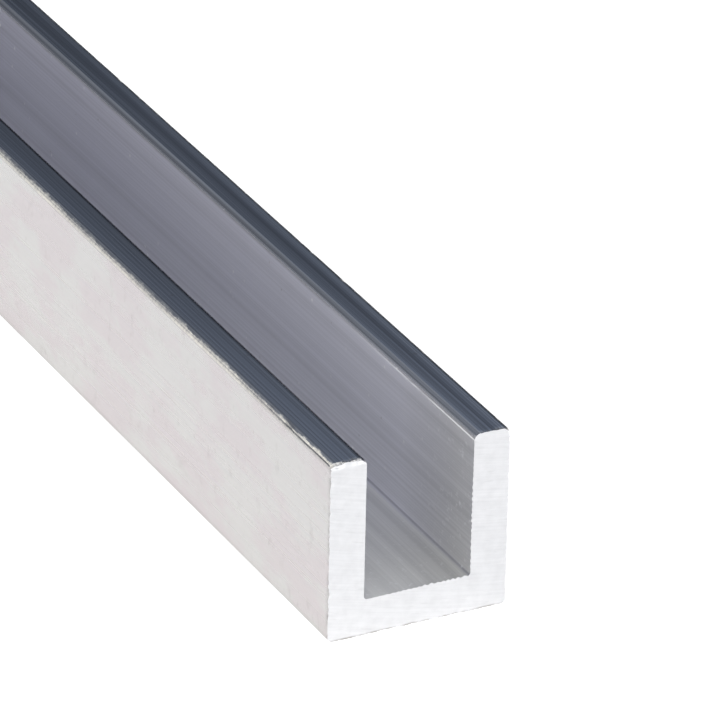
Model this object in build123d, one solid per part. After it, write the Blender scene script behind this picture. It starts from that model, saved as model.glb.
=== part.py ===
from build123d import *
from math import isclose
import os

# A cut length of square aluminium U channel, lying on its web with the slot upwards.
# +X runs along the bar, +Y across it, and +Z from the web to the tips of the flanges.
# The origin is in the middle of the web's outer face.

INCH = 25.4

# Driving dimensions, in millimetres
LENGTH = 500.0  # as cut from the mill length
WIDTH = 5 / 8 * INCH  # over the two flanges
HEIGHT = 5 / 8 * INCH  # from the web's outer face to the tips
WALL = 1 / 8 * INCH  # the web and both flanges
OUTER_RADIUS = 0.5  # the two web corners and the tips' outer corners
TIP_RADIUS = 0.6  # the tips' inner corners, which lead a panel into the slot
ROOT_RADIUS = 0.3  # where the flanges grow out of the web

SLOT_WIDTH = WIDTH - 2 * WALL
SLOT_DEPTH = HEIGHT - WALL


def corners_of(sketch, height, half_width):
    """The pair of the section's corners at this height and this far from its middle line."""
    return [
        corner
        for corner in sketch.vertices()
        if isclose(corner.Y, height, abs_tol=1e-6) and isclose(abs(corner.X), half_width, abs_tol=1e-6)
    ]


def channel_section():
    """The die's opening: a square U, with a radius of its own at each kind of corner."""
    outline = Rectangle(WIDTH, HEIGHT, align=(Align.CENTER, Align.MIN))
    slot = Pos(0, WALL) * Rectangle(SLOT_WIDTH, SLOT_DEPTH, align=(Align.CENTER, Align.MIN))
    section = outline - slot
    section = fillet(corners_of(section, 0, WIDTH / 2), OUTER_RADIUS)
    section = fillet(corners_of(section, HEIGHT, WIDTH / 2), OUTER_RADIUS)
    section = fillet(corners_of(section, HEIGHT, SLOT_WIDTH / 2), TIP_RADIUS)
    section = fillet(corners_of(section, WALL, SLOT_WIDTH / 2), ROOT_RADIUS)
    return section


def u_channel():
    """The section drawn out along the bar and sawn square at both ends."""
    sawn_end = Plane(origin=(-LENGTH / 2, 0, 0), x_dir=(0, 1, 0), z_dir=(1, 0, 0))
    return extrude(sawn_end * channel_section(), amount=LENGTH)


os.makedirs("parts", exist_ok=True)

bar = u_channel()
bar.label = "u_channel"
export_step(bar, "parts/u_channel.step")

print("section area mm2", round(channel_section().area, 2), "volume mm3", round(bar.volume, 1))
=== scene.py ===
from math import cos, pi, radians, sin

import bmesh
import bpy
from bpy.props import FloatProperty, FloatVectorProperty, IntProperty, PointerProperty
from mathutils import Matrix, Vector, noise


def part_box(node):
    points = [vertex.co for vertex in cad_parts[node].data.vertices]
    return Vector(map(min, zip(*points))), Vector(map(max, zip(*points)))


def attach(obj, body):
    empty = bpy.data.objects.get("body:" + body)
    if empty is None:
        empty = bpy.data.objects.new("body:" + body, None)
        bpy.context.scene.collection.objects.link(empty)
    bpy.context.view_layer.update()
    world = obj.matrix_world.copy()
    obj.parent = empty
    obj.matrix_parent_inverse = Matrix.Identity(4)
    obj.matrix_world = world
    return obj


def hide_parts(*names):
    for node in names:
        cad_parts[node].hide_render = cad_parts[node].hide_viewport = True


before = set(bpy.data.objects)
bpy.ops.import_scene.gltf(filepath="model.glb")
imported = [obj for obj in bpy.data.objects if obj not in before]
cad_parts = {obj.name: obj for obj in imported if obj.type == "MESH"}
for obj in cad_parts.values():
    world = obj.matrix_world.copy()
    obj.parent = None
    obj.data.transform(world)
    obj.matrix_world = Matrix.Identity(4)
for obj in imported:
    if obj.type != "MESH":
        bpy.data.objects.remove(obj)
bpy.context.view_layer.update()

bl_info = {
    "name": "Aluminium U channel",
    "version": (1, 0, 0),
    "blender": (4, 5, 0),
    "location": "3D View > Sidebar > Channel",
    "description": "Draws a sawn bar of aluminium U channel and the white table that it lies on",
    "category": "Object",
}

NODE = "u_channel"
LOWEST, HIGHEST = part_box(NODE)
LENGTH, WIDTH, HEIGHT = HIGHEST - LOWEST
HALF_WIDTH = WIDTH / 2
MM = 0.001
TINY = 0.001 * MM


class SectionSizes(bpy.types.PropertyGroup):
    """The shape that the die gives the bar, within the frame's own width and height."""

    wall: FloatProperty(
        name="Wall",
        description="Thickness of the web and of both flanges",
        default=WIDTH / 5,
        unit="LENGTH",
    )
    outer_radius: FloatProperty(
        name="Outer radius",
        description="Radius of the web's corners and of the tips' outer corners",
        default=0.5 * MM,
        unit="LENGTH",
    )
    tip_radius: FloatProperty(
        name="Tip radius",
        description="Radius of the tips' inner corners",
        default=0.6 * MM,
        unit="LENGTH",
    )
    root_radius: FloatProperty(
        name="Root radius",
        description="Radius where the flanges grow out of the web",
        default=0.3 * MM,
        unit="LENGTH",
    )
    arc_steps: IntProperty(
        name="Arc steps",
        description="Facets on each rounded corner",
        default=10,
    )


class SawnEnds(bpy.types.PropertyGroup):
    """What the saw leaves on both ends of the bar."""

    cells: IntProperty(
        name="Cells",
        description="Cells across a sawn face, which carry its relief",
        default=150,
    )
    burr_room: FloatProperty(
        name="Burr room",
        description="How far a sawn face stands back, to leave room for the burr",
        default=0.1 * MM,
        unit="LENGTH",
    )
    burr_height: FloatProperty(
        name="Burr height",
        description="Height of the largest teeth that the saw leaves on the slot's edges",
        default=0.15 * MM,
        unit="LENGTH",
    )
    burr_pitch: FloatProperty(
        name="Burr pitch",
        description="Distance from one tooth of the burr to the next",
        default=0.5 * MM,
        unit="LENGTH",
    )
    chip_depth: FloatProperty(
        name="Chip depth",
        description="Depth of the chips along the outer edges of a sawn face",
        default=0.14 * MM,
        unit="LENGTH",
    )
    blade_radius: FloatProperty(
        name="Blade radius",
        description="Radius of the saw blade, whose teeth leave their strokes as arcs",
        default=125 * MM,
        unit="LENGTH",
    )
    stroke_tilt: FloatProperty(
        name="Stroke tilt",
        description="Angle of the saw's strokes to the web",
        default=radians(-12),
        subtype="ANGLE",
    )
    stroke_depth: FloatProperty(
        name="Stroke depth",
        description="Depth of the coarser strokes",
        default=0.012 * MM,
        unit="LENGTH",
    )


class EdgeWear(bpy.types.PropertyGroup):
    """The knocks along the outer edges of the flange tips."""

    pitch: FloatProperty(
        name="Pitch",
        description="Distance between the points that carry the wear along an edge",
        default=0.25 * MM,
        unit="LENGTH",
    )
    nick_depth: FloatProperty(
        name="Nick depth",
        description="Depth of the largest nicks",
        default=0.12 * MM,
        unit="LENGTH",
    )
    bays: IntProperty(
        name="Bays",
        description="Equal lengths that the bar's faces are divided into",
        default=25,
    )


class MetalColours(bpy.types.PropertyGroup):
    """The colours of bare aluminium, as the die and the saw leave it."""

    mill: FloatVectorProperty(
        name="Mill finish",
        description="Colour of the extruded faces",
        default=(0.84, 0.84, 0.84),
        subtype="COLOR",
    )
    # The outer sides' colour is a darker, warmer copy of the mill finish: painted shade and a
    # painted warm reflection.
    side: FloatVectorProperty(
        name="Sides",
        description="Colour of the bar's outer sides, which have been handled",
        default=(0.745, 0.732, 0.715),
        subtype="COLOR",
    )
    # Painted warm reflection: faint warm smudges on the outer sides.
    warm_reflection_tint: FloatVectorProperty(
        name="Bloom",
        description="Colour of the faint warm smudges on the outer sides",
        default=(0.735, 0.688, 0.69),
        subtype="COLOR",
    )
    # Painted reflection: a bluish tint on the slot's walls, for the bluish backdrop that they
    # reflect.
    slot_wall_reflection: FloatVectorProperty(
        name="Slot wall",
        description="Colour of the bluish film on the slot's walls",
        default=(0.75, 0.75, 0.83),
        subtype="COLOR",
    )
    sawn: FloatVectorProperty(
        name="Sawn face",
        description="Colour of the fresh metal on the sawn faces",
        default=(0.945, 0.945, 0.955),
        subtype="COLOR",
    )
    # Real dirt in the pits and smudges; along the bottom edges the same colour is a painted contact
    # shadow.
    stain_and_shadow: FloatVectorProperty(
        name="Stain",
        description="Colour of the dirt in the pits and along the bottom edges",
        default=(0.33, 0.30, 0.27),
        subtype="COLOR",
    )


class TableSetting(bpy.types.PropertyGroup):
    """The photographer's view of the bar: a long lens, close to the sawn end."""

    azimuth: FloatProperty(
        name="Azimuth",
        description="Turn of the camera round the bar, from looking along +Y",
        default=radians(62.7),
        subtype="ANGLE",
    )
    elevation: FloatProperty(
        name="Elevation",
        description="Angle at which the camera looks down",
        default=radians(26.82),
        subtype="ANGLE",
    )
    roll: FloatProperty(
        name="Roll",
        description="Turn of the camera about its own line of sight",
        default=radians(-1.26),
        subtype="ANGLE",
    )
    distance: FloatProperty(
        name="Distance",
        description="From the camera to the point that it aims at",
        default=556.7 * MM,
        unit="LENGTH",
    )
    aim_back: FloatProperty(
        name="Aim back",
        description="How far behind the sawn end the camera aims, over the middle of the slot",
        default=10.89 * MM,
        unit="LENGTH",
    )
    aim_height: FloatProperty(
        name="Aim height",
        description="Height of the point that the camera aims at",
        default=18.47 * MM,
        unit="LENGTH",
    )
    focal_length: FloatProperty(
        name="Focal length",
        description="In millimetres, on a sensor 36 mm wide",
        default=349.9,
    )
    table_size: FloatProperty(
        name="Table size",
        description="Width of the white table",
        default=40.0,
        unit="LENGTH",
    )


def clear_selection():
    """Nothing may stay selected when a primitive is added, the frame's own node included."""
    if bpy.context.mode != "OBJECT":
        bpy.ops.object.mode_set(mode="OBJECT")
    bpy.ops.object.select_all(action="DESELECT")


def choose(piece, kind, wanted):
    """Selects the visible vertices, edges or faces that pass a test, and no others."""
    bpy.ops.mesh.select_mode(type=kind)
    bpy.ops.mesh.select_all(action="DESELECT")
    mesh = bmesh.from_edit_mesh(piece.data)
    parts = {"VERT": mesh.verts, "EDGE": mesh.edges, "FACE": mesh.faces}[kind]
    for part in parts:
        if not part.hide and wanted(part):
            part.select_set(True)
    mesh.select_flush_mode()
    bmesh.update_edit_mesh(piece.data)


def cut_across(place, normal):
    """Cuts every visible face with a plane."""
    bpy.ops.mesh.select_all(action="SELECT")
    bpy.ops.mesh.bisect(plane_co=place, plane_no=normal)


def half_slot(section):
    """From the bar's middle to either wall of the slot."""
    return HALF_WIDTH - section.wall


def at(value, place):
    return abs(value - place) < TINY


def is_slot_cell(centre, section):
    return abs(centre.y) < half_slot(section) and centre.z > section.wall


def round_corners(piece, is_corner, radius, section):
    choose(piece, "VERT", lambda vert: is_corner(vert.co))
    bpy.ops.mesh.bevel(offset=radius, segments=section.arc_steps, profile=0.5, affect="VERTICES")


def draw_section(piece, section, end_x):
    """A flat U at the bar's far end: a plate less the slot's cell, with its corners rounded."""
    edge = half_slot(section)
    bpy.ops.mesh.select_all(action="SELECT")
    bpy.ops.transform.resize(value=(1, WIDTH, HEIGHT), center_override=(0, 0, 0))
    bpy.ops.transform.translate(value=(-end_x, 0, HEIGHT / 2))
    cut_across((0, -edge, 0), (0, 1, 0))
    cut_across((0, edge, 0), (0, 1, 0))
    cut_across((0, 0, section.wall), (0, 0, 1))
    choose(piece, "FACE", lambda face: is_slot_cell(face.calc_center_median(), section))
    bpy.ops.mesh.delete(type="FACE")
    bpy.ops.mesh.select_all(action="SELECT")
    bpy.ops.mesh.dissolve_limited(angle_limit=radians(1))
    corners = [
        (lambda co: at(abs(co.y), HALF_WIDTH), section.outer_radius),
        (lambda co: at(abs(co.y), edge) and at(co.z, HEIGHT), section.tip_radius),
        (lambda co: at(abs(co.y), edge) and at(co.z, section.wall), section.root_radius),
    ]
    for is_corner, radius in corners:
        round_corners(piece, is_corner, radius, section)


# The sides are ringed at these depths behind a sawn face, to carry its burr and chips.
RING_DEPTHS = [0.05 * MM, 0.12 * MM, 0.25 * MM, 0.5 * MM]
# From here on, the bar is clear of the saw's marks and is divided into bays.
CLEAR_DEPTH = 3 * MM


def draw_out(wear, end_x):
    """Draws the section out to the bar, and rings it near its ends and at every bay."""
    bpy.ops.mesh.select_all(action="SELECT")
    bpy.ops.mesh.extrude_region_move(TRANSFORM_OT_translate={"value": (2 * end_x, 0, 0)})
    bpy.ops.mesh.select_all(action="SELECT")
    bpy.ops.mesh.normals_make_consistent(inside=False)
    for depth in [*RING_DEPTHS, CLEAR_DEPTH]:
        cut_across((end_x - depth, 0, 0), (1, 0, 0))
        cut_across((depth - end_x, 0, 0), (1, 0, 0))
    clear_x = end_x - CLEAR_DEPTH
    for bay in range(1, wear.bays):
        cut_across((clear_x * (2 * bay / wear.bays - 1), 0, 0), (1, 0, 0))


def net_the_ends(piece, ends, end_x):
    """Divides the sawn faces, and the sides next to them, into small cells for the saw's relief."""
    netted_x = end_x - RING_DEPTHS[-1] - TINY
    choose(piece, "FACE", lambda face: all(abs(vert.co.x) > netted_x for vert in face.verts))
    bpy.ops.mesh.hide(unselected=True)
    for step in range(1, ends.cells):
        cut_across((0, WIDTH * (step / ends.cells - 0.5), 0), (0, 1, 0))
    for step in range(1, ends.cells):
        cut_across((0, 0, HEIGHT * step / ends.cells), (0, 0, 1))
    bpy.ops.mesh.reveal(select=False)


def net_the_tips(piece, section, wear, end_x):
    """Divides the tips' outer corners along the bar, so that they can carry nicks."""
    clear_x = end_x - CLEAR_DEPTH
    bays = (0, clear_x, 2 * clear_x / wear.bays)
    last_stretch = (clear_x, end_x - RING_DEPTHS[-1], CLEAR_DEPTH)
    for nearest, farthest, length in (bays, last_stretch):
        choose(piece, "EDGE", lambda edge: is_tip_run(edge, section, nearest, farthest))
        bpy.ops.mesh.subdivide(number_cuts=round(length / wear.pitch) - 1, ngon=True)


def is_tip_run(edge, section, nearest, farthest):
    """Whether an edge runs along a tip's outer corner, in this stretch of either half."""
    first, last = edge.verts
    return (
        abs(first.co.x - last.co.x) > MM
        and all(nearest - TINY < abs(vert.co.x) < farthest + TINY for vert in edge.verts)
        and all(on_outer_tip(vert.co, section) for vert in edge.verts)
    )


def on_outer_tip(place, section):
    reach = section.outer_radius + TINY
    return HEIGHT - place.z < reach and HALF_WIDTH - abs(place.y) < reach


def fade(distance, reach):
    """1 at no distance, and down to 0 at the reach, with a soft start and end."""
    share = min(max(1 - distance / reach, 0), 1)
    return share * share * (3 - 2 * share)


def ripple(along, pitch, lane):
    """Smooth noise about 0 along a line. Each lane, which is any number, has noise of its own."""
    return noise.noise(Vector((along / pitch, lane, 0.5)))


def teeth(along, pitch, lane):
    """A row of uneven teeth, from 0 to 1."""
    place = along / pitch + 0.9 * ripple(along, 4 * pitch, lane)
    size = 0.7 + 0.3 * noise.cell(Vector((place, lane, 0.5)))
    return fade(abs(place % 1 - 0.5), 0.5) * size


def values_on(piece, *names):
    """Numbers kept at the piece's points, for its materials to read. New ones start at 0."""
    attributes = piece.data.attributes
    for name in names:
        if name not in attributes:
            attributes.new(name, "FLOAT", "POINT")
    return [attributes[name].data for name in names]


def in_the_box(place):
    """The nearest place that doesn't reach past the frame's own box."""
    return Vector(min(max(value, low), high) for value, low, high in zip(place, LOWEST, HIGHEST))


BURR_THICKNESS = 0.1 * MM
BURR_ROOT = 0.22 * MM
BURR_LEAN = 0.2
NEAR_WALL_BURR = 0.12


def slot_burr(place, end, lip, section, ends):
    """The teeth pushed into the slot: few on the near flange, and most at the far root."""
    edge = half_slot(section)
    side = 1 if place.y > 0 else -1
    move = Vector()
    if abs(place.y) < edge + TINY and place.z < section.wall + section.root_radius:
        strength = min(1.6 * fade(1 - place.y / edge, 2.4), 1)
        strength *= 0.8 + 0.5 * ripple(place.y, 2 * MM, 3 * end)
        height = strength * ends.burr_height * (0.3 + teeth(place.y, ends.burr_pitch, 5 * end))
        raised = Vector((BURR_LEAN * end * height, 0, height))
        move += raised * lip * fade(section.wall - place.z, BURR_ROOT)
    if abs(place.y) > edge - section.root_radius and place.z > section.wall:
        share = (place.z - section.wall) / (HEIGHT - section.wall)
        strength = fade(abs(share - 0.35), 0.75) if side > 0 else NEAR_WALL_BURR
        row = teeth(place.z, ends.burr_pitch, side + 7 * end)
        height = strength * ends.burr_height * (0.2 + row)
        raised = Vector((BURR_LEAN * end * height, -0.8 * side * height, 0))
        move += raised * (lip * fade(abs(place.y) - edge, BURR_ROOT))
    return move


CHIP_RUN = 0.4 * MM
CHIP_LEAN = 0.6
CROWN_RUN = 1.2 * MM
FAR_CHIPS = 0.55


def outer_chips(place, end, depth, section, ends):
    """The rounded and chipped outer edges of a sawn face, worst on the near flange's tip."""
    side = 1 if place.y > 0 else -1
    near = 1.0 if side * end < 0 else FAR_CHIPS
    run = fade(depth, CHIP_RUN)
    move = Vector()
    if abs(place.y) > half_slot(section) - TINY:
        rough = near * (0.7 + 1.2 * ripple(place.y, 0.7 * MM, 11 * end + side))
        rough += 1.5 * near * ripple(place.y, 0.35 * MM, 13 * end)
        rough += 1.3 * near * fade(HALF_WIDTH - abs(place.y), CROWN_RUN)
        chip = ends.chip_depth * max(rough, 0.1) * fade(depth, 0.5 * CHIP_RUN)
        chip *= fade(HEIGHT - place.z, 1.5 * CHIP_RUN)
        move += Vector((-CHIP_LEAN * end * chip, 0, -chip))
    coarse = 0.7 * ripple(place.z, 0.8 * MM, 17 * end + side)
    rough = near * (0.15 + coarse + 0.9 * ripple(place.z, 0.3 * MM, 19))
    chip = ends.chip_depth * max(rough, 0) * run * fade(HALF_WIDTH - abs(place.y), CHIP_RUN)
    move += Vector((-CHIP_LEAN * end * chip, -side * chip, 0))
    rough = 0.1 + 0.5 * ripple(place.y, 0.9 * MM, 23 * end)
    chip = ends.chip_depth * max(rough, 0) * run * fade(place.z, CHIP_RUN)
    return move + Vector((-CHIP_LEAN * end * chip, 0, chip))


def stroke_relief(place, end, ends):
    """The depth of the saw's coarser strokes, which are arcs about the blade's centre."""
    tilt = ends.stroke_tilt * end
    centre_y = -sin(tilt) * ends.blade_radius
    centre_z = HEIGHT / 2 + cos(tilt) * ends.blade_radius
    reach = Vector((place.y - centre_y, place.z - centre_z)).length
    strokes = ripple(reach, 0.9 * MM, 29 * end) + 0.6 * ripple(reach, 0.37 * MM, 31 * end)
    return ends.stroke_depth * (0.6 + strokes)


def saw_the_ends(piece, section, ends, end_x):
    """Moves the points of both sawn ends, to their burr, chips and saw strokes. It also marks fresh
    metal on the burr, and painted shade along the chipped edges.
    """
    netted_x = end_x - RING_DEPTHS[-1]
    fresh, painted_edge_shade = values_on(piece, "fresh", "painted_edge_shade")
    for vert in piece.data.vertices:
        place = vert.co
        if abs(place.x) <= netted_x:
            continue
        end = 1 if place.x > 0 else -1
        depth = end_x - abs(place.x)
        move = slot_burr(place, end, fade(depth, BURR_THICKNESS), section, ends)
        chips = outer_chips(place, end, depth, section, ends)
        fresh[vert.index].value = min(move.length / ends.chip_depth, 1)
        crown = fade(HALF_WIDTH - abs(place.y), CROWN_RUN)
        # Painted shade under the chipped crown of the near tip.
        painted_edge_shade[vert.index].value = 0.5 * crown * min(max(-chips.z / ends.chip_depth, 0), 1)
        # Painted shade along the torn outer edges next to the sawn face, in place of the arris's
        # shadow.
        if place.z < HEIGHT - section.outer_radius and abs(place.y) > HALF_WIDTH - TINY:
            torn = 0.8 + 1.5 * ripple(place.z, 0.5 * MM, 53 * end)
            painted_edge_shade[vert.index].value = 0.3 * torn * fade(depth, CHIP_RUN)
        move += chips
        if depth < TINY:
            move.x -= end * stroke_relief(place, end, ends)
        vert.co = in_the_box(place + move)


# A place on a tip's rounded edge is given by the height of its normal: 0 at the side, 1 on top.
CREASE = 0.588
CREST = 0.84
# Up to this height, the painted light on the near tip's rounded edge is at full strength.
LIT_FRINGE_START = 0.7
WORST_RUN = 22 * MM


def wear_strength(along, side, near_end):
    """How hard an edge has been knocked at this place, from 0 to 1."""
    most = (0.5 + 0.5 * near_end) * (1 if side < 0 else 0.5)
    patches = 0.75 + 1.1 * ripple(along, 9 * MM, 37 * side)
    return most * min(max(patches, 0.4 + 0.3 * near_end), 1)


def lip_crest(along, side):
    """Where the lip's crest is on the rounded edge. It wanders along the bar."""
    wander = CREST + 0.12 * ripple(along, 2.2 * MM, 41 * side)
    return wander + 0.16 * ripple(along, 0.6 * MM, 43 * side)


def wear_the_tips(piece, section, wear, end_x):
    """Folds a crumbling lip over a crease along the tips' outer edges, worst at the near end. It
    also marks the lip's wear, painted light on the near tip's rounded edge away from the end, and
    painted shade in the crease and the nicks.
    """
    worn_and_lit, painted_edge_shade = values_on(piece, "worn_and_lit", "painted_edge_shade")
    radius = section.outer_radius
    for vert in piece.data.vertices:
        place = vert.co
        if not on_outer_tip(place, section):
            continue
        side = 1 if place.y > 0 else -1
        centre = Vector((0, side * (HALF_WIDTH - radius), HEIGHT - radius))
        outward = Vector((0, place.y, place.z)) - centre
        if outward.length < 0.5 * radius:
            continue
        outward.normalize()
        height = outward.z
        near_end = fade(end_x - place.x, WORST_RUN) if side < 0 else 0
        strength = wear_strength(place.x, side, near_end)
        crest = lip_crest(place.x, side)
        crumb = 0.75 + 0.6 * ripple(place.x, 0.35 * MM, 45 * side + 9 * height)
        window = min(4 * height * outward.y * side, 1)
        ridge = window * crumb * fade(height - crest, 0.08) * fade(CREASE + 0.06 - height, 0.06)
        groove = window * (0.3 + 0.7 * near_end) * fade(abs(height - CREASE), 0.1)
        flank = window * fade(height - CREASE + 0.1, 0.05)
        nick = max(ripple(place.x, 0.9 * MM, 47 * side) - 0.28, 0) * 3
        push = 0.35 * ridge - 0.5 * groove - nick * window * fade(abs(height - crest), 0.3)
        keep = 1 - fade(end_x - abs(place.x), RING_DEPTHS[-1])
        vert.co = in_the_box(place + outward * push * strength * keep * wear.nick_depth)
        rubbed = max(ridge * (0.6 + 0.4 * near_end), flank * (0.45 - 0.3 * near_end))
        # Painted light: a lighter fringe on the near tip's rounded edge, away from the end.
        lit_fringe = (1 - near_end) * window * fade(height - LIT_FRINGE_START, 0.14) if side < 0 else 0
        worn_and_lit[vert.index].value = min(1.7 * strength * rubbed + 0.28 * lit_fringe, 1)
        # Painted shade in the crease under the lip and in the nicks.
        painted_edge_shade[vert.index].value = 0.7 * strength * min(groove + 0.3 * nick * window, 1)


# The map's height is split between the unrolled sides, below, and the two sawn faces.
MAP_EDGE = 0.004
MAP_SPLIT = 0.72
MAP_GAP = 0.3 * MM


def upright(normal):
    return abs(normal.y) > abs(normal.z)


def side_lanes(section):
    """The sides in order round the section: a test, the start on the map, and the way along it."""
    edge = half_slot(section)
    depth = HEIGHT - section.wall
    middle = HALF_WIDTH - section.wall / 2
    sides = [
        (lambda co, n: upright(n) and co.y < -middle, HEIGHT, lambda co: HEIGHT - co.z),
        (lambda co, n: not upright(n) and n.z < 0, WIDTH, lambda co: co.y + HALF_WIDTH),
        (lambda co, n: upright(n) and co.y > middle, HEIGHT, lambda co: co.z),
        (lambda co, n: not upright(n) and co.y > edge, section.wall, lambda co: HALF_WIDTH - co.y),
        (lambda co, n: upright(n) and co.y > 0, depth, lambda co: HEIGHT - co.z),
        (lambda co, n: not upright(n) and abs(co.y) < edge, 2 * edge, lambda co: edge - co.y),
        (lambda co, n: upright(n), depth, lambda co: co.z - section.wall),
        (lambda co, n: True, section.wall, lambda co: -edge - co.y),
    ]
    lanes, start = [], 0
    for is_side, length, along in sides:
        lanes.append((is_side, start, along))
        start += length + MAP_GAP
    return lanes, start


def unroll(piece, section, end_x):
    """Lays the sides out under the sawn faces, with far more of the map across them than along."""
    mesh = piece.data
    layer = mesh.uv_layers.new(name="OFBake")
    lanes, total = side_lanes(section)
    tall = (MAP_SPLIT - MAP_EDGE) / total
    face_size = 1 - MAP_SPLIT - 2 * MAP_EDGE
    for face in mesh.polygons:
        loops = face.loop_indices
        corners = [(loop, mesh.vertices[mesh.loops[loop].vertex_index].co) for loop in loops]
        if face.material_index == SAWN:
            left = MAP_EDGE if face.center.x > 0 else 2 * MAP_EDGE + face_size
            for loop, co in corners:
                u = left + face_size * (co.y / WIDTH + 0.5)
                layer.data[loop].uv = (u, MAP_SPLIT + MAP_EDGE + face_size * co.z / HEIGHT)
            continue
        _, start, along = next(lane for lane in lanes if lane[0](face.center, face.normal))
        for loop, co in corners:
            u = 0.5 + (0.5 - MAP_EDGE) * co.x / end_x
            layer.data[loop].uv = (u, MAP_EDGE + tall * (start + along(co)))


def add_node(tree, kind, inputs=None, **settings):
    """Adds a node with its settings. Its inputs are plain values or other nodes' outputs."""
    node = tree.nodes.new(kind)
    for name, value in settings.items():
        setattr(node, name, value)
    for name, value in (inputs or {}).items():
        if isinstance(value, bpy.types.NodeSocket):
            tree.links.new(value, node.inputs[name])
        else:
            node.inputs[name].default_value = value
    return node


def math_node(tree, operation, first, second=0.0, clamp=False):
    inputs = {0: first, 1: second}
    node = add_node(tree, "ShaderNodeMath", inputs, operation=operation, use_clamp=clamp)
    return node.outputs[0]


def times(tree, first, *others):
    """The product of two or more values."""
    for other in others:
        first = math_node(tree, "MULTIPLY", first, other)
    return first


def remap(tree, value, low, high, to_low=0.0, to_high=1.0):
    """Stretches a value from one range to another, and holds it there."""
    inputs = {
        "Value": value,
        "From Min": low,
        "From Max": high,
        "To Min": to_low,
        "To Max": to_high,
    }
    return add_node(tree, "ShaderNodeMapRange", inputs).outputs["Result"]


def blend(tree, share, first, second, blend_type="MIX"):
    """A colour mixed from two others. A colour is three numbers, or another node's output."""
    node = add_node(tree, "ShaderNodeMix", data_type="RGBA", blend_type=blend_type)
    for socket, value in (("Factor_Float", share), ("A_Color", first), ("B_Color", second)):
        target = next(entry for entry in node.inputs if entry.identifier == socket)
        if isinstance(value, bpy.types.NodeSocket):
            tree.links.new(value, target)
        else:
            target.default_value = value if socket == "Factor_Float" else (*value, 1.0)
    return next(entry for entry in node.outputs if entry.identifier == "Result_Color")


def grey(tree, value):
    inputs = {"Red": value, "Green": value, "Blue": value}
    return add_node(tree, "ShaderNodeCombineColor", inputs).outputs["Color"]


def scaled(tree, vector, scale):
    return add_node(tree, "ShaderNodeMapping", {"Vector": vector, "Scale": scale}).outputs["Vector"]


def noise_of(tree, vector, scale=1.0, detail=2.0, roughness=0.5):
    inputs = {"Vector": vector, "Scale": scale, "Detail": detail, "Roughness": roughness}
    return add_node(tree, "ShaderNodeTexNoise", inputs).outputs["Fac"]


def value_at_points(tree, name):
    return add_node(tree, "ShaderNodeAttribute", attribute_name=name).outputs["Fac"]


def near_line(tree, value, place):
    """1 where a distance is at this place, and 0 beyond 0.22 mm from it."""
    away = math_node(tree, "ABSOLUTE", math_node(tree, "SUBTRACT", value, place))
    return remap(tree, away, 0.22 * MM, 0.05 * MM)


def add_bump(tree, shader, height, strength, distance):
    inputs = {"Height": height, "Strength": strength, "Distance": distance}
    bump = add_node(tree, "ShaderNodeBump", inputs)
    tree.links.new(bump.outputs["Normal"], shader.inputs["Normal"])


def new_group(name, inputs, outputs):
    """An empty node group. Its inputs and outputs are pairs of a name and a socket type."""
    tree = bpy.data.node_groups.new(name, "ShaderNodeTree")
    for socket, kind in inputs:
        tree.interface.new_socket(socket, in_out="INPUT", socket_type=kind)
    for socket, kind in outputs:
        tree.interface.new_socket(socket, in_out="OUTPUT", socket_type=kind)
    return tree, tree.nodes.new("NodeGroupInput"), tree.nodes.new("NodeGroupOutput")


def use_group(tree, group, inputs):
    return add_node(tree, "ShaderNodeGroup", inputs, node_tree=group)


def strokes_group():
    """Long fine lines of a die or a saw. They run along the vector's X, one unit apart."""
    tree, start, end = new_group(
        "Strokes",
        [("Vector", "NodeSocketVector")],
        [
            ("Fine", "NodeSocketFloat"),
            ("Bands", "NodeSocketFloat"),
            ("Scratches", "NodeSocketFloat"),
        ],
    )
    vector = start.outputs["Vector"]
    fine = noise_of(tree, vector, detail=3.0, roughness=0.65)
    bands = noise_of(tree, scaled(tree, vector, (0.4, 0.2, 0.2)), detail=2.0)
    sparse = noise_of(tree, scaled(tree, vector, (3.5, 0.8, 0.8)), detail=1.0)
    tree.links.new(fine, end.inputs["Fine"])
    tree.links.new(bands, end.inputs["Bands"])
    tree.links.new(remap(tree, sparse, 0.66, 0.74), end.inputs["Scratches"])
    return tree


def specks_group():
    """Small round spots at random places, of random sizes."""
    tree, start, end = new_group(
        "Specks",
        [
            ("Vector", "NodeSocketVector"),
            ("Per metre", "NodeSocketFloat"),
            ("Share", "NodeSocketFloat"),
        ],
        [("Mask", "NodeSocketFloat")],
    )
    inputs = {"Vector": start.outputs["Vector"], "Scale": start.outputs["Per metre"]}
    cells = add_node(tree, "ShaderNodeTexVoronoi", inputs)
    chance = add_node(tree, "ShaderNodeSeparateColor", {"Color": cells.outputs["Color"]})
    chosen = math_node(tree, "LESS_THAN", chance.outputs["Red"], start.outputs["Share"])
    size = remap(tree, chance.outputs["Green"], 0.0, 1.0, 0.12, 0.4)
    spot = remap(tree, cells.outputs["Distance"], size, 0.0)
    tree.links.new(times(tree, chosen, spot), end.inputs["Mask"])
    return tree


def new_material(name):
    material = bpy.data.materials.new(name)
    material.use_nodes = True
    tree = material.node_tree
    tree.nodes.clear()
    shader = add_node(tree, "ShaderNodeBsdfPrincipled", {"Metallic": 1.0})
    add_node(tree, "ShaderNodeOutputMaterial", {"Surface": shader.outputs["BSDF"]})
    place = add_node(tree, "ShaderNodeTexCoord").outputs["Object"]
    return material, tree, shader, place


# Painted shade on the tips' tops.
PAINTED_TOP_SHADE = (0.0, 0.0, 0.0)
WHITE = (1.0, 1.0, 1.0)
# Painted light on the slot's walls near the open end.
PAINTED_FRONT_LIGHT = (0.90, 0.90, 0.96)
RUBBED = (0.77, 0.765, 0.72)
# Painted shade in the corners where the flanges meet the web.
ROOT_SHADE = (0.12, 0.12, 0.15)
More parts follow.
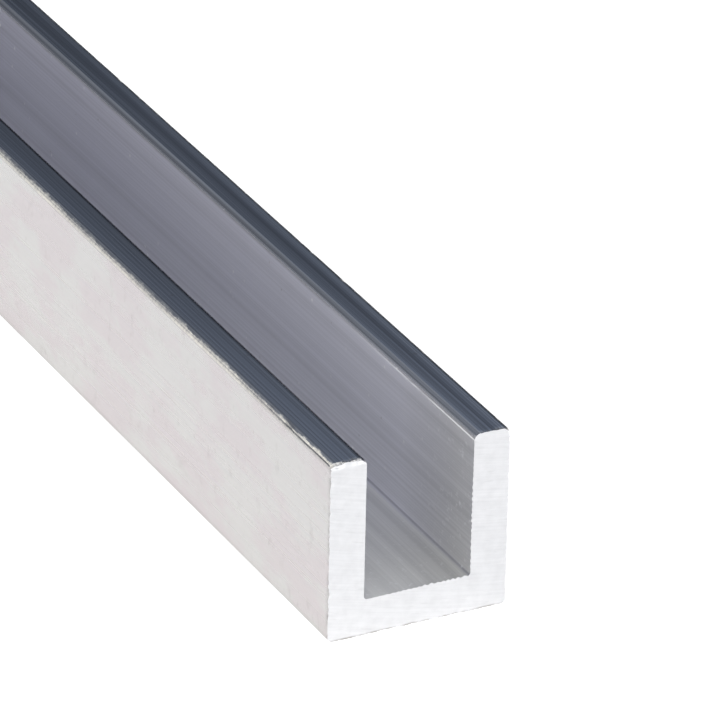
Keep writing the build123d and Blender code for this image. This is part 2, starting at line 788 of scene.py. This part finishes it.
# Painted dark reflection along the near tip's inner edge.
EDGE_DARK_REFLECTION = (0.03, 0.03, 0.06)
# Colour of the worn lip and of the painted light on the near tip's fringe.
WORN_AND_LIT_COLOUR = (1.0, 0.965, 0.85)
# Painted shade along the edges: the crease, the nicks and the chipped sawn edges.
EDGE_SHADE = (0.10, 0.09, 0.08)
SCRATCHED = (0.7, 0.7, 0.7)


class Areas:
    """Where a point of the extruded metal lies: distances in metres, and masks from 0 to 1."""

    def __init__(self, tree, place, section):
        edge = half_slot(section)
        parts = add_node(tree, "ShaderNodeSeparateXYZ", {"Vector": place}).outputs
        self.place = place
        self.slot_half = edge
        self.across = parts["Y"]
        self.above = parts["Z"]
        self.beside = math_node(tree, "ABSOLUTE", self.across)
        far_out = math_node(tree, "ABSOLUTE", parts["X"])
        self.from_end = math_node(tree, "SUBTRACT", HIGHEST[0], far_out)
        over_web = math_node(tree, "GREATER_THAN", self.above, section.wall / 2)
        self.slot = times(tree, remap(tree, self.beside, edge + 0.12 * MM, edge), over_web)
        self.wall = times(tree, self.slot, remap(tree, self.beside, edge - 0.4 * MM, edge))
        low_top, high_top = HEIGHT - section.tip_radius, HEIGHT - 0.5 * section.tip_radius
        self.top = remap(tree, self.above, low_top, high_top)
        self.side = remap(tree, self.beside, HALF_WIDTH - 0.3 * MM, HALF_WIDTH)
        at_wall = near_line(tree, self.beside, edge)
        self.root = times(tree, at_wall, near_line(tree, self.above, section.wall))
        # The front of the slot, 3 to 13 mm from the end: rubbed, scuffed, and given painted light
        # on its floor.
        self.slot_front = times(tree, remap(tree, self.from_end, 13 * MM, 3 * MM), self.slot)
        self.low_floor = remap(tree, self.above, section.wall + 0.5 * MM, section.wall)
        wide = scaled(tree, place, (150, 290, 290))
        self.clouds = noise_of(tree, wide, detail=4.0, roughness=0.6)


def base_colour(tree, areas, colours):
    """Outer sides in a darker warm colour with warm smudges, painted as their shade and warm
    reflection; a painted bluish reflection on the slot's walls; painted light on the walls near the
    open end; a rubbed colour at the front of the slot; and painted shade on the tips' tops.
    """
    # Painted shade and warm reflection on the outer sides: a darker warm colour with warm smudges.
    warm_reflection_tint = remap(tree, areas.clouds, 0.42, 0.56)
    colour = blend(tree, warm_reflection_tint, colours.side, colours.warm_reflection_tint)
    colour = blend(tree, areas.side, colours.mill, colour)
    # Painted bluish reflection on the slot's walls.
    colour = blend(tree, areas.wall, colour, colours.slot_wall_reflection)
    # Painted light on the slot's walls, from 4 to 75 mm behind the end, where light comes in at the
    # open end.
    front_light = remap(tree, areas.from_end, 75 * MM, 18 * MM)
    front_light = times(tree, front_light, remap(tree, areas.from_end, 4 * MM, 12 * MM), areas.wall)
    colour = blend(tree, front_light, colour, PAINTED_FRONT_LIGHT)
    colour = blend(tree, times(tree, areas.slot_front, 0.6), colour, RUBBED)
    # Painted shade on the tips' tops, darker farther from the end.
    top_shade = times(tree, areas.top, remap(tree, areas.from_end, 0.0, 35 * MM, 0.12, 0.3))
    return blend(tree, top_shade, colour, PAINTED_TOP_SHADE)


def die_lines(tree, areas, lines, colour):
    """Darkens the colour in the die's lines, most of all on the tips."""
    lowest = remap(tree, areas.side, 0.0, 1.0, 0.88, 0.98)
    for name, depth in (("Fine", 0.40), ("Bands", 0.12)):
        darkest = math_node(tree, "SUBTRACT", lowest, times(tree, areas.top, depth))
        shade = remap(tree, lines.outputs[name], 0.34, 0.66, darkest, 1.0)
        colour = blend(tree, 1.0, colour, grey(tree, shade), "MULTIPLY")
    return colour


def marks_and_painted_shade(tree, areas, colours, specks, colour):
    """Smudges on the sides, painted shade at the roots, a painted dark reflection along the near
    tip's inner edge, scuffs in the slot, pits, and a painted contact shadow with darkening towards
    the bottom at the sole.
    """
    smudge = scaled(tree, areas.place, (700, 260, 420))
    smudge = noise_of(tree, smudge, detail=3.0, roughness=0.7)
    smudge = times(tree, areas.side, remap(tree, smudge, 0.58, 0.72, 0.0, 0.16))
    colour = blend(tree, smudge, colour, colours.stain_and_shadow)
    # Painted shade along the roots, where the flanges meet the web.
    colour = blend(tree, times(tree, areas.root, 0.75), colour, ROOT_SHADE)
    # Painted dark reflection: a near-black line along the near tip's inner edge, where it reflects
    # the dark screen.
    dark_reflection = near_line(tree, areas.across, -areas.slot_half - 0.26 * MM)
    colour = blend(tree, times(tree, areas.top, dark_reflection, 0.95), colour, EDGE_DARK_REFLECTION)
    scuffs = noise_of(tree, areas.place, scale=1600, detail=3.0, roughness=0.7)
    scuffs = times(tree, remap(tree, scuffs, 0.58, 0.72), times(tree, areas.slot_front, 0.6))
    colour = blend(tree, scuffs, colour, colours.sawn)
    inputs = {"Vector": areas.place, "Per metre": 1300, "Share": 0.014}
    pits = use_group(tree, specks, inputs).outputs["Mask"]
    pits = times(tree, pits, remap(tree, areas.side, 0.0, 1.0, 0.6, 0.25))
    colour = blend(tree, pits, colour, colours.stain_and_shadow)
    return blend(tree, darker_towards_bottom(tree, areas), colour, colours.stain_and_shadow)


def darker_towards_bottom(tree, areas):
    """Painted contact shadow along the sole's edges, and darkening towards the bottom of the sides
    at the ends and in mid bar.
    """
    # Painted contact shadow along the bottom of the outer sides.
    contact_shadow = times(tree, areas.side, remap(tree, areas.above, 0.8 * MM, 0.1 * MM))
    contact_shadow = times(tree, contact_shadow, remap(tree, areas.clouds, 0.35, 0.6, 0.2, 0.5))
    corner = remap(tree, areas.from_end, 3 * MM, 0.0)
    farther = remap(tree, areas.from_end, 45 * MM, 80 * MM)
    spread = math_node(tree, "MAXIMUM", corner, farther)
    spread = times(tree, spread, remap(tree, areas.above, 2.4 * MM, 0.2 * MM, 0.0, 0.14))
    return math_node(tree, "MAXIMUM", contact_shadow, times(tree, spread, areas.side))


def bright_marks(tree, areas, specks):
    """Torn specks in the slot, painted light on its floor near the open end, and a painted glint
    under the far tip near the end.
    """
    inputs = {"Vector": areas.place, "Per metre": 1900, "Share": 0.05}
    light = use_group(tree, specks, inputs).outputs["Mask"]
    nearer = remap(tree, areas.across, 0.6 * areas.slot_half, -0.8 * areas.slot_half)
    # Painted light on the slot's floor near the open end, stronger on the near side.
    floor_light = times(tree, areas.slot_front, times(tree, areas.low_floor, nearer), 0.36)
    light = math_node(tree, "MAXIMUM", times(tree, light, areas.slot), floor_light)
    # Painted glint: a thin bright line under the far tip, near the end.
    away = math_node(tree, "SUBTRACT", areas.above, HEIGHT - 0.54 * MM)
    away = math_node(tree, "ABSOLUTE", away)
    glint = remap(tree, away, 0.1 * MM, 0.03 * MM)
    glint = times(tree, glint, remap(tree, areas.from_end, 26 * MM, 5 * MM))
    patches = times(tree, areas.slot, remap(tree, areas.clouds, 0.36, 0.46))
    far_side = math_node(tree, "GREATER_THAN", areas.across, 0.0)
    glint = times(tree, glint, patches, far_side, 0.8)
    return math_node(tree, "MAXIMUM", light, glint)


def mill_finish(colours, section, strokes, specks):
    """Extruded metal: die lines along the bar, marks of handling, torn edges, and painted light and
    shade.
    """
    material, tree, shader, place = new_material("mill_finish")
    areas = Areas(tree, place, section)
    lines = use_group(tree, strokes, {"Vector": scaled(tree, place, (9, 5200, 5200))})
    colour = base_colour(tree, areas, colours)
    colour = die_lines(tree, areas, lines, colour)
    colour = marks_and_painted_shade(tree, areas, colours, specks, colour)
    crumbs = remap(tree, noise_of(tree, place, scale=3200, detail=2.0), 0.36, 0.54, 0.6, 1.0)
    # The lip's wear and the painted light on the near tip's fringe, in a cream colour.
    worn_and_lit = times(tree, value_at_points(tree, "worn_and_lit"), crumbs)
    colour = blend(tree, worn_and_lit, colour, WORN_AND_LIT_COLOUR)
    # Fresh metal and the painted light both take the sawn colour.
    light = bright_marks(tree, areas, specks)
    fresh = value_at_points(tree, "fresh")
    colour = blend(tree, math_node(tree, "MAXIMUM", fresh, light), colour, colours.sawn)
    # Painted shade in the tips' crease and nicks and along the chipped sawn edges.
    painted_edge_shade = times(tree, value_at_points(tree, "painted_edge_shade"), 0.9)
    colour = blend(tree, painted_edge_shade, colour, EDGE_SHADE)
    tree.links.new(colour, shader.inputs["Base Color"])
    # Worn, fresh and painted-light places are made less metallic and rougher.
    torn = math_node(tree, "MAXIMUM", worn_and_lit, fresh)
    torn = math_node(tree, "MAXIMUM", torn, light)
    bare = math_node(tree, "SUBTRACT", 1.0, times(tree, areas.slot, 0.38))
    bare = math_node(tree, "SUBTRACT", bare, torn, clamp=True)
    tree.links.new(bare, shader.inputs["Metallic"])
    rough = remap(tree, lines.outputs["Bands"], 0.3, 0.7, 0.24, 0.32)
    rough = math_node(tree, "ADD", rough, times(tree, areas.slot, 0.12))
    rough = math_node(tree, "SUBTRACT", rough, times(tree, areas.top, 0.1))
    rough = math_node(tree, "ADD", rough, times(tree, torn, 0.3))
    tree.links.new(rough, shader.inputs["Roughness"])
    height = math_node(tree, "ADD", lines.outputs["Fine"], lines.outputs["Scratches"])
    height = math_node(tree, "ADD", height, times(tree, light, 5.0))
    strength = remap(tree, areas.side, 0.0, 1.0, 1.0, 0.12)
    add_bump(tree, shader, height, strength, 0.003 * MM)
    return material


def blade_reach(tree, parts, end, ends):
    """The distance from the blade's centre, which each of the saw's strokes keeps."""
    centre_y = times(tree, end, -sin(ends.stroke_tilt) * ends.blade_radius)
    centre_z = HEIGHT / 2 + cos(ends.stroke_tilt) * ends.blade_radius
    away_y = math_node(tree, "SUBTRACT", parts["Y"], centre_y)
    away_z = math_node(tree, "SUBTRACT", parts["Z"], centre_z)
    reach = add_node(tree, "ShaderNodeCombineXYZ", {"Y": away_y, "Z": away_z}).outputs["Vector"]
    return add_node(tree, "ShaderNodeVectorMath", {0: reach}, operation="LENGTH").outputs["Value"]


def sawn_finish(colours, ends, strokes):
    """Fresh metal under the saw's strokes, which are arcs about the blade's centre, with a painted
    contact shadow along the bottom edge.
    """
    material, tree, shader, place = new_material("sawn_finish")
    parts = add_node(tree, "ShaderNodeSeparateXYZ", {"Vector": place}).outputs
    end = math_node(tree, "SIGN", parts["X"])
    inputs = {"X": parts["Y"], "Y": blade_reach(tree, parts, end, ends), "Z": end}
    along = add_node(tree, "ShaderNodeCombineXYZ", inputs).outputs["Vector"]
    lines = use_group(tree, strokes, {"Vector": scaled(tree, along, (160, 4600, 9))})
    shade = remap(tree, lines.outputs["Fine"], 0.3, 0.7, 0.93, 1.0)
    colour = blend(tree, 1.0, colours.sawn, grey(tree, shade), "MULTIPLY")
    mottle = noise_of(tree, place, scale=900, detail=3.0, roughness=0.6)
    shade = remap(tree, mottle, 0.35, 0.6, 0.95, 1.0)
    colour = blend(tree, 1.0, colour, grey(tree, shade), "MULTIPLY")
    scratches = times(tree, lines.outputs["Scratches"], 0.25)
    colour = blend(tree, scratches, colour, SCRATCHED)
    # Painted contact shadow along the sawn face's bottom edge.
    low = remap(tree, parts["Z"], 0.2 * MM, 0.0)
    contact_shadow = times(tree, low, remap(tree, mottle, 0.6, 0.4))
    colour = blend(tree, contact_shadow, colour, colours.stain_and_shadow)
    tree.links.new(colour, shader.inputs["Base Color"])
    rough = remap(tree, lines.outputs["Bands"], 0.3, 0.7, 0.38, 0.5)
    tree.links.new(rough, shader.inputs["Roughness"])
    height = math_node(tree, "SUBTRACT", lines.outputs["Fine"], lines.outputs["Scratches"])
    add_bump(tree, shader, height, 1.0, 0.004 * MM)
    return material


MILL, SAWN = 0, 1
SAWN_NORMAL = 0.9
SMOOTH_ANGLE = radians(35)


class CHANNEL_OT_bar(bpy.types.Operator):
    """Draws the bar out of its section, saws both ends and gives it its finish"""

    bl_idname = "channel.bar"
    bl_label = "Aluminium bar"

    def execute(self, context):
        scene = context.scene
        section = scene.channel_section
        ends = scene.channel_ends
        wear = scene.channel_wear
        end_x = LENGTH / 2 - ends.burr_room
        clear_selection()
        bpy.ops.mesh.primitive_plane_add(size=1, rotation=(0, pi / 2, 0))
        piece = context.active_object
        piece.name = piece.data.name = "aluminium_channel"
        bpy.ops.object.transform_apply()
        bpy.ops.object.mode_set(mode="EDIT")
        draw_section(piece, section, end_x)
        draw_out(wear, end_x)
        net_the_ends(piece, ends, end_x)
        net_the_tips(piece, section, wear, end_x)
        bpy.ops.object.mode_set(mode="OBJECT")
        self.finish(piece, scene.channel_colours, section, ends)
        unroll(piece, section, end_x)
        wear_the_tips(piece, section, wear, end_x)
        saw_the_ends(piece, section, ends, end_x)
        bpy.ops.object.shade_smooth_by_angle(angle=SMOOTH_ANGLE)
        piece.modifiers.new("Flat sides", "WEIGHTED_NORMAL").keep_sharp = True
        bpy.ops.object.modifier_apply(modifier="Flat sides")
        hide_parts(NODE)
        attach(piece, "root")
        return {"FINISHED"}

    def finish(self, piece, colours, section, ends):
        """Gives the sides their mill finish and the two end faces the saw's."""
        strokes, specks = strokes_group(), specks_group()
        piece.data.materials.append(mill_finish(colours, section, strokes, specks))
        piece.data.materials.append(sawn_finish(colours, ends, strokes))
        for face in piece.data.polygons:
            face.material_index = SAWN if abs(face.normal.x) > SAWN_NORMAL else MILL


SCREEN_DIRECTION = Vector((-0.75, 0.62, 0.25)).normalized()
# The screen's brightness, by how nearly a direction points at its middle.
SCREEN_STOPS = [
    (0.0, (1.35, 1.35, 1.35)),
    (0.13, (1.04, 1.04, 1.06)),
    (0.24, (0.22, 0.24, 0.29)),
    (0.6, (0.21, 0.23, 0.28)),
    (0.88, (0.32, 0.35, 0.41)),
    (0.93, (0.2, 0.238, 0.322)),
]
# How far the room darkens under the screen, by the height of a direction.
LOW_STOPS = [
    (0.0, (0.03, 0.03, 0.03)),
    (0.3, (0.12, 0.12, 0.12)),
    (0.38, (0.3, 0.3, 0.3)),
    (0.455, (1.0, 1.0, 1.0)),
]


def ramp_of(tree, value, stops):
    """A colour ramp through these stops, of which the first is at 0."""
    ramp = add_node(tree, "ShaderNodeValToRGB", {"Fac": value})
    elements = ramp.color_ramp.elements
    elements.remove(elements[1])
    for position, colour in stops:
        element = elements.new(position) if position else elements[0]
        element.color = (*colour, 1.0)
    return ramp.outputs["Color"]


def sky_material(world):
    """A white studio with one dark screen, behind the bar. The camera itself sees plain white."""
    world.use_nodes = True
    tree = world.node_tree
    tree.nodes.clear()
    place = add_node(tree, "ShaderNodeTexCoord").outputs["Generated"]
    facing = {0: place, 1: SCREEN_DIRECTION}
    screen = add_node(tree, "ShaderNodeVectorMath", facing, operation="DOT_PRODUCT")
    height = add_node(tree, "ShaderNodeSeparateXYZ", {"Vector": place}).outputs["Z"]
    behind = remap(tree, screen.outputs["Value"], 0.75, 0.9)
    dim = blend(tree, behind, WHITE, ramp_of(tree, height, LOW_STOPS))
    sky = blend(tree, 1.0, ramp_of(tree, screen.outputs["Value"], SCREEN_STOPS), dim, "MULTIPLY")
    seen = add_node(tree, "ShaderNodeLightPath").outputs["Is Camera Ray"]
    colour = blend(tree, seen, sky, WHITE)
    shader = add_node(tree, "ShaderNodeBackground", {"Color": colour, "Strength": 1.0})
    add_node(tree, "ShaderNodeOutputWorld", {"Surface": shader.outputs["Background"]})


TABLE_GREY = (0.70, 0.70, 0.70)
TABLE_GLOW = 0.405
TABLE_GLOW_SEEN = 0.7


def table_material():
    """Matt white, with a glow that the camera sees as plain white."""
    material = bpy.data.materials.new("white_table")
    material.use_nodes = True
    tree = material.node_tree
    tree.nodes.clear()
    matt = add_node(tree, "ShaderNodeBsdfDiffuse", {"Color": (*TABLE_GREY, 1.0)})
    seen = add_node(tree, "ShaderNodeLightPath").outputs["Is Camera Ray"]
    strength = remap(tree, seen, 0.0, 1.0, TABLE_GLOW, TABLE_GLOW_SEEN)
    inputs = {"Color": (*WHITE, 1.0), "Strength": strength}
    glow = add_node(tree, "ShaderNodeEmission", inputs)
    inputs = {0: matt.outputs["BSDF"], 1: glow.outputs["Emission"]}
    both = add_node(tree, "ShaderNodeAddShader", inputs)
    add_node(tree, "ShaderNodeOutputMaterial", {"Surface": both.outputs["Shader"]})
    return material


class CHANNEL_OT_table(bpy.types.Operator):
    """Lays the white table, hangs the studio round it and sets up the camera"""

    bl_idname = "channel.table"
    bl_label = "Table and camera"

    def execute(self, context):
        scene = context.scene
        view = scene.channel_view
        clear_selection()
        bpy.ops.mesh.primitive_plane_add(size=view.table_size)
        table = context.active_object
        table.name = table.data.name = "white_table"
        table.data.materials.append(table_material())
        scene.world = bpy.data.worlds.new("white_studio")
        sky_material(scene.world)
        self.place_camera(scene, view)
        scene.view_settings.view_transform = "Standard"
        return {"FINISHED"}

    def place_camera(self, scene, view):
        camera = bpy.data.objects.new("camera", bpy.data.cameras.new("camera"))
        scene.collection.objects.link(camera)
        scene.camera = camera
        camera.data.lens = view.focal_length
        camera.data.sensor_width = 36.0
        camera.data.clip_start = 0.01
        camera.data.clip_end = 100.0
        flat = cos(view.elevation)
        away = (sin(view.azimuth) * flat, -cos(view.azimuth) * flat, sin(view.elevation))
        back = Vector(away)
        right = Vector((cos(view.azimuth), sin(view.azimuth), 0))
        up = back.cross(right)
        turn = Matrix.Rotation(view.roll, 3, -back)
        right, up = turn @ right, turn @ up
        aim = Vector((LENGTH / 2 - view.aim_back, 0, view.aim_height))
        pose = Matrix((right, up, back)).transposed().to_4x4()
        pose.translation = aim + back * view.distance
        camera.matrix_world = pose


class CHANNEL_PT_panel(bpy.types.Panel):
    """Lists the steps and the sizes that a user may change"""

    bl_idname = "CHANNEL_PT_panel"
    bl_label = "Aluminium channel"
    bl_space_type = "VIEW_3D"
    bl_region_type = "UI"
    bl_category = "Channel"

    def draw(self, context):
        for name in GROUPS:
            group = getattr(context.scene, name)
            box = self.layout.box()
            for entry in group.bl_rna.properties:
                if entry.identifier not in ("rna_type", "name"):
                    box.prop(group, entry.identifier)
        for operator in (CHANNEL_OT_bar, CHANNEL_OT_table):
            self.layout.operator(operator.bl_idname)


GROUPS = {
    "channel_section": SectionSizes,
    "channel_ends": SawnEnds,
    "channel_wear": EdgeWear,
    "channel_colours": MetalColours,
    "channel_view": TableSetting,
}
CLASSES = [*GROUPS.values(), CHANNEL_OT_bar, CHANNEL_OT_table, CHANNEL_PT_panel]


def register():
    for entry in CLASSES:
        bpy.utils.register_class(entry)
    for name, group in GROUPS.items():
        setattr(bpy.types.Scene, name, PointerProperty(type=group))


def unregister():
    for name in GROUPS:
        delattr(bpy.types.Scene, name)
    for entry in reversed(CLASSES):
        bpy.utils.unregister_class(entry)


def main():
    register()
    bpy.ops.channel.bar()
    bpy.ops.channel.table()


if __name__ == "__main__":
    main()
